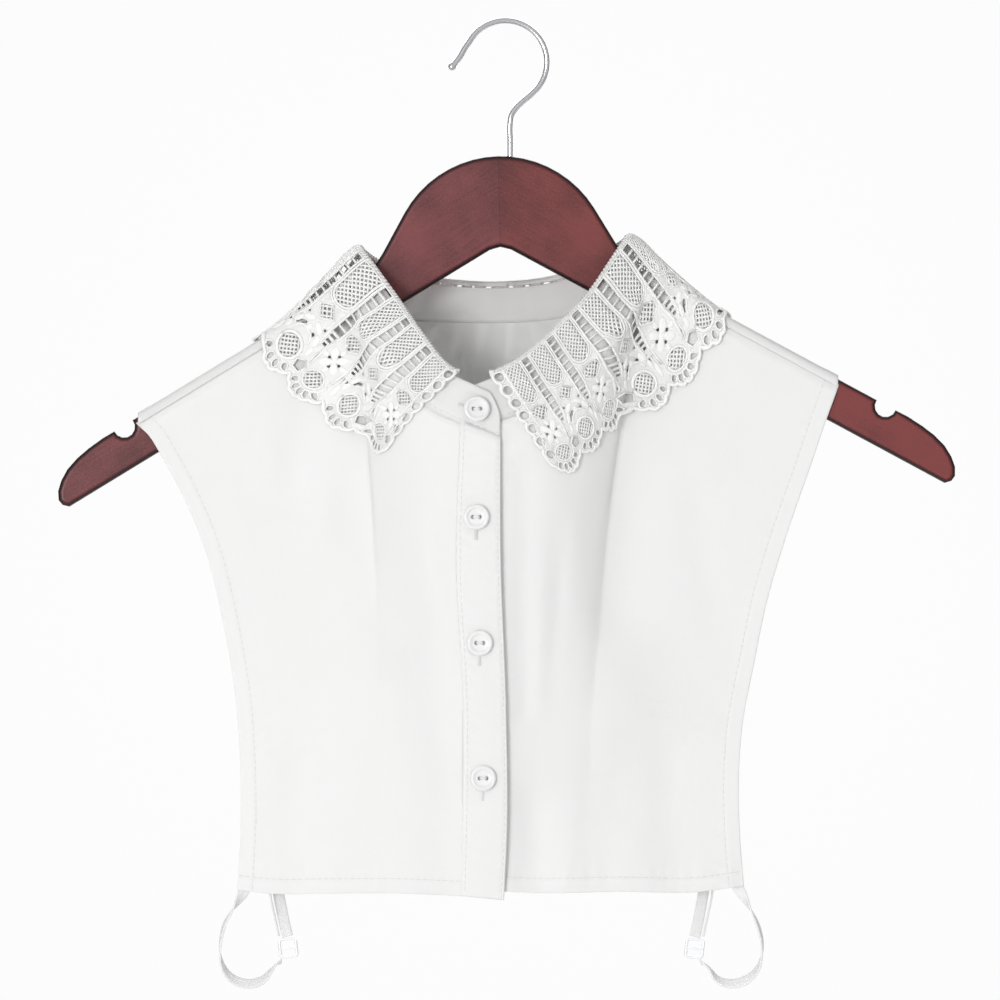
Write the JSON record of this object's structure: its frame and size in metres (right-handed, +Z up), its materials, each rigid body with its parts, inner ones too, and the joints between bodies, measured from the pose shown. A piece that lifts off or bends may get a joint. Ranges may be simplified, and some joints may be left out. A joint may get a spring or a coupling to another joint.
{
  "type": "lace collar dickey on a wooden hanger",
  "caption": "Sleeveless half-blouse with an openwork lace collar, button placket and elastic side straps, hung on a flat wooden hanger by its wire hook.",
  "frame": {"origin": "inside top of the hook, where it hangs on a rail", "axes": "+Z up along the garment's length, the front faces -Y, +X is the viewer's right"},
  "size_m": [0.4437, 0.0799, 0.4806],
  "materials": {
    "wood": "dark red varnished wood, fine straight grain",
    "hook_steel": "bright plated steel wire",
    "blouse_cloth": "white matte plain-weave cotton or cotton blend",
    "lace": "white matte embroidered guipure lace",
    "button": "white shirt buttons with two holes",
    "elastic": "white ribbed elastic",
    "slider": "white moulded plastic"
  },
  "bodies": {
    "root": {"hanger_body": "wood", "hanger_hook": "hook_steel", "front_left": "blouse_cloth", "front_right": "blouse_cloth", "placket": "blouse_cloth", "back": "blouse_cloth", "collar_stand": "blouse_cloth", "lace_collar_left": "lace", "lace_collar_right": "lace", "button_1": "button", "button_2": "button", "button_3": "button", "button_4": "button", "strap_loop_left": "elastic", "strap_loop_right": "elastic", "strap_back_left": "elastic", "strap_back_right": "elastic", "strap_return_left": "elastic", "strap_return_right": "elastic", "slider_left": "slider", "slider_right": "slider"}
  },
  "joints": []
}
